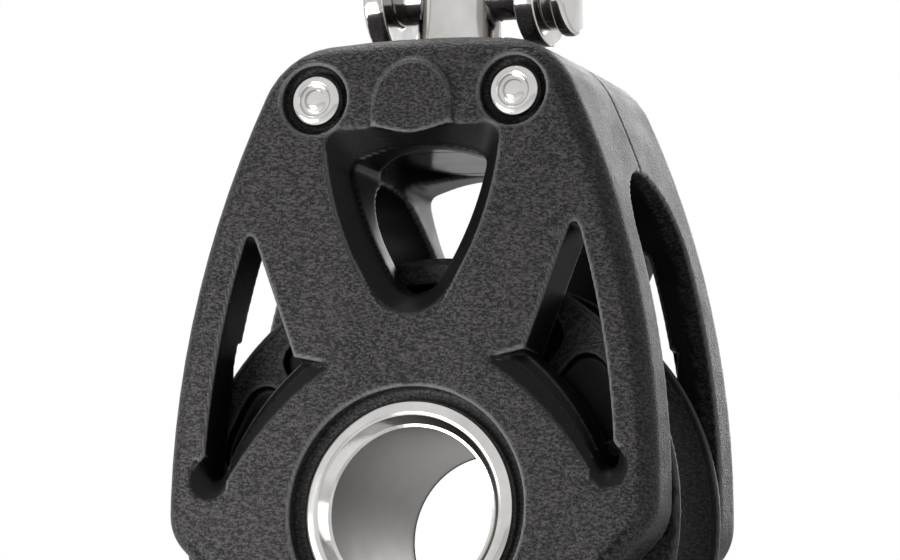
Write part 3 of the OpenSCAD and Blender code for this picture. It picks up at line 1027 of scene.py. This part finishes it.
@dataclass(frozen=True)
class Lamp:
    """A soft square lamp, with its place and width in metres and its power in watts."""

    name: str
    place: tuple[float, float, float]
    width: float
    power: float

    def hang(self, target: Vector) -> None:
        """Adds the lamp to the scene.

        Args:
            target: The point that it faces.
        """
        data = bpy.data.lights.new(self.name, "AREA")
        data.size = self.width
        data.energy = self.power
        lamp = bpy.data.objects.new(self.name, data)
        bpy.context.scene.collection.objects.link(lamp)
        place = Vector(self.place)
        lamp.location = place
        lamp.rotation_euler = (target - place).to_track_quat("-Z", "Y").to_euler()


@dataclass
class Studio:
    """Camera, plain white surroundings and soft lamps, with lengths in metres and angles in degrees."""

    azimuth: float = 21.082
    elevation: float = -8.971
    roll: float = 0.953
    distance: float = 0.76025
    target: Vector = field(default_factory=lambda: Vector((-0.85, 0.0, 28.62)) * MM)
    focal_px: float = 6582.755
    image_width: float = 900.0
    sensor: float = 36.0
    floor_z: float = -0.16
    floor_reach: float = 3.0
    floor_tone: float = 0.8
    floor_glow: float = 0.62
    soft_light: float = 0.14
    lamps: tuple[Lamp, ...] = (
        Lamp("key", (-0.1, -0.138, -0.036), 0.1, 0.28),
        Lamp("right_side", (0.42, -0.02, 0.1), 0.25, 0.26),
        Lamp("top", (-0.12, 0.06, 0.42), 0.22, 1.4),
        Lamp("rear", (-0.03, 0.42, 0.2), 0.3, 0.8),
    )

    def build(self) -> None:
        """Builds the camera, the floor, the world and the lamps."""
        self._camera()
        self._floor()
        self._world()
        for lamp in self.lamps:
            lamp.hang(self.target)

    def _camera(self) -> None:
        """Places the camera where the photograph was taken from."""
        turn = math.radians(self.azimuth)
        lift = math.radians(self.elevation)
        tilt = math.radians(self.roll)
        back = Vector((math.sin(turn) * math.cos(lift), -math.cos(turn) * math.cos(lift), math.sin(lift)))
        right = Vector((math.cos(turn), math.sin(turn), 0.0))
        up = back.cross(right)
        tilted_right = right * math.cos(tilt) + up * math.sin(tilt)
        tilted_up = up * math.cos(tilt) - right * math.sin(tilt)
        data = bpy.data.cameras.new("camera")
        data.sensor_width = self.sensor
        data.lens = self.sensor * self.focal_px / self.image_width
        camera = bpy.data.objects.new("camera", data)
        bpy.context.scene.collection.objects.link(camera)
        turned_axes = Matrix((tilted_right, tilted_up, back)).transposed()
        camera.matrix_world = Matrix.Translation(self.target + back * self.distance) @ turned_axes.to_4x4()
        bpy.context.scene.camera = camera

    def _floor(self) -> None:
        """Lays a large pale floor under the block, which keeps its shadow and glows where it is seen."""
        bm = bmesh.new()
        bmesh.ops.create_grid(bm, x_segments=2, y_segments=2, size=self.floor_reach)
        bmesh.ops.translate(bm, verts=bm.verts, vec=Vector((0.0, 0.0, self.floor_z)))
        floor = piece_from(bm, "floor")
        tree = ShaderTree("pale_floor")
        tree.shader.inputs["Base Color"].default_value = (*[self.floor_tone] * 3, 1.0)
        tree.shader.inputs["Roughness"].default_value = 0.9
        tree.shader.inputs["Specular IOR Level"].default_value = 0.0
        tree.shader.inputs["Emission Color"].default_value = (1.0, 1.0, 1.0, 1.0)
        glow = tree.combine("MULTIPLY", in_view(tree.material), self.floor_glow)
        tree.link(glow, tree.shader.inputs["Emission Strength"])
        dress(floor, tree.material)

    def _world(self) -> None:
        """Sets a white surrounding for what is seen directly or in metal, and a soft light elsewhere."""
        world = bpy.data.worlds.new("studio")
        bpy.context.scene.world = world
        world.use_nodes = True
        background = world.node_tree.nodes["Background"]
        background.inputs["Color"].default_value = (1.0, 1.0, 1.0, 1.0)
        strength = joined(world, "MAXIMUM", in_view(world), self.soft_light)
        world.node_tree.links.new(strength, background.inputs["Strength"])


def main() -> None:
    """Builds every piece of the block and the studio round it."""
    logging.basicConfig(level=logging.INFO)
    bpy.context.scene.view_settings.view_transform = "Standard"
    Studio().build()
    core = CORE_FINISH.material()
    satin = SATIN.material()
    polished = POLISHED.material()
    core_metal = CORE_METAL.material()
    Cheeks().build(CHEEK_FINISH.material())
    Head().build(core, satin)
    Rivets().build(polished)
    HollowAxle().build(core_metal, polished)
    Sheave().build(SHEAVE_FINISH.material())
    Shackle().build(satin, satin)
    Bearing().build(core_metal, ACETAL_FINISH.material(), core)


if __name__ == "__main__":
    main()
